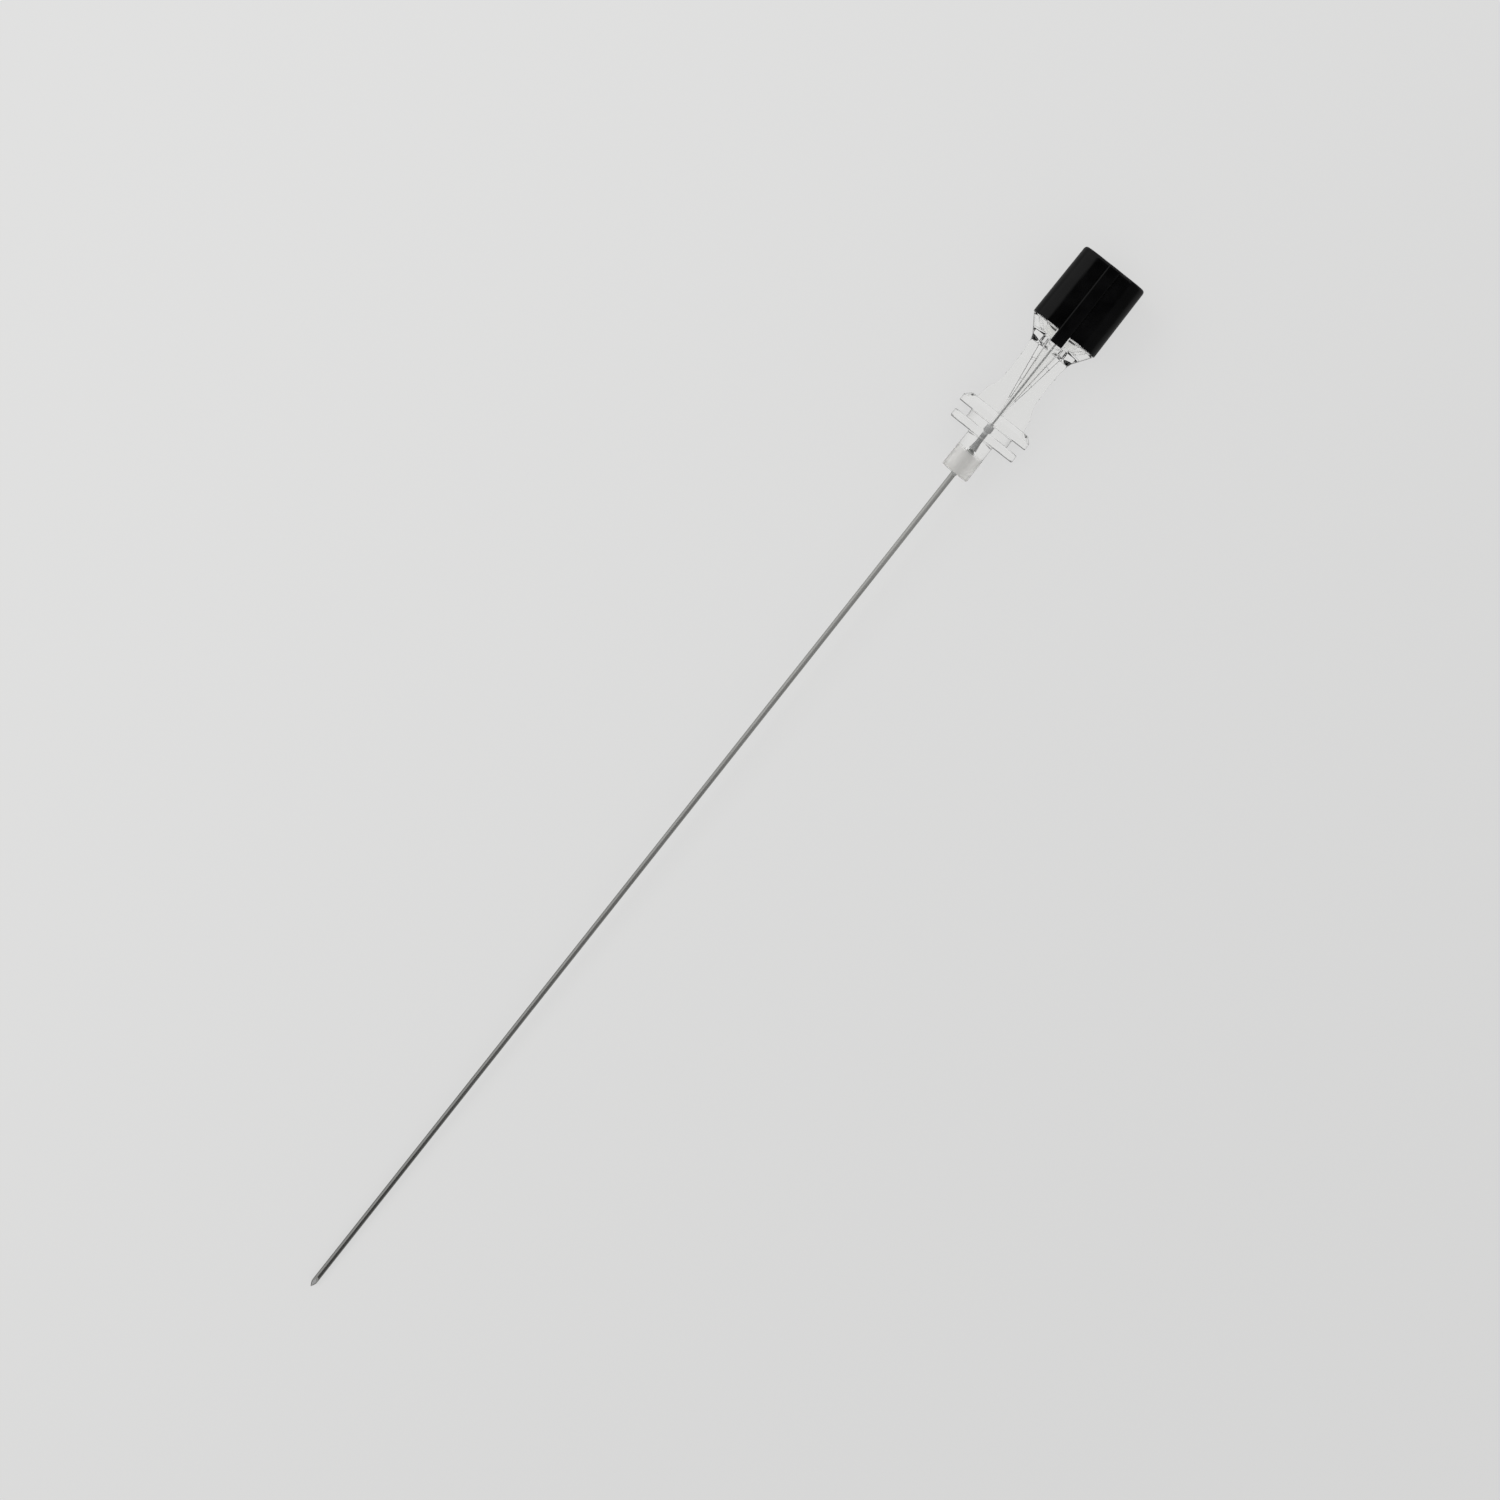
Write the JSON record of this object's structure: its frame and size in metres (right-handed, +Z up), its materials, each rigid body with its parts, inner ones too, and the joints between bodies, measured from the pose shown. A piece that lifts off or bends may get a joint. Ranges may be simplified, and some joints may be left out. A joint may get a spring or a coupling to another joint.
{
  "type": "spinal needle with stylet",
  "caption": "Spinal needle: thin steel cannula with a ground lancet point, clear flanged hub with luer socket, and a stylet wire moulded into a black keyed cap.",
  "frame": {"origin": "middle of the bounding box, on the surface that the needle lies on", "axes": "+X towards the stylet cap, almost along the needle, which rises 1.68 degrees from its point to its cap; +Z up, the side that the bevel and the key face"},
  "size_m": [0.1588, 0.01, 0.0091],
  "materials": {
    "hub": "clear moulded plastic, frosted on the nose",
    "cannula": "drawn and ground stainless steel",
    "cannula_adhesive": "cured clear adhesive",
    "stylet_wire": "drawn stainless steel wire",
    "stylet_cap": "black gloss"
  },
  "bodies": {
    "needle": {"hub": "hub", "cannula": "cannula", "cannula_adhesive": "cannula_adhesive"},
    "stylet": {"stylet_cap": "stylet_cap", "stylet_wire": "stylet_wire"}
  },
  "joints": [
    {"name": "stylet_slide", "type": "slide", "parent": "needle", "child": "stylet", "axis": [0.9996, 0, 0.0293], "range_m": [0, 0.165]}
  ]
}
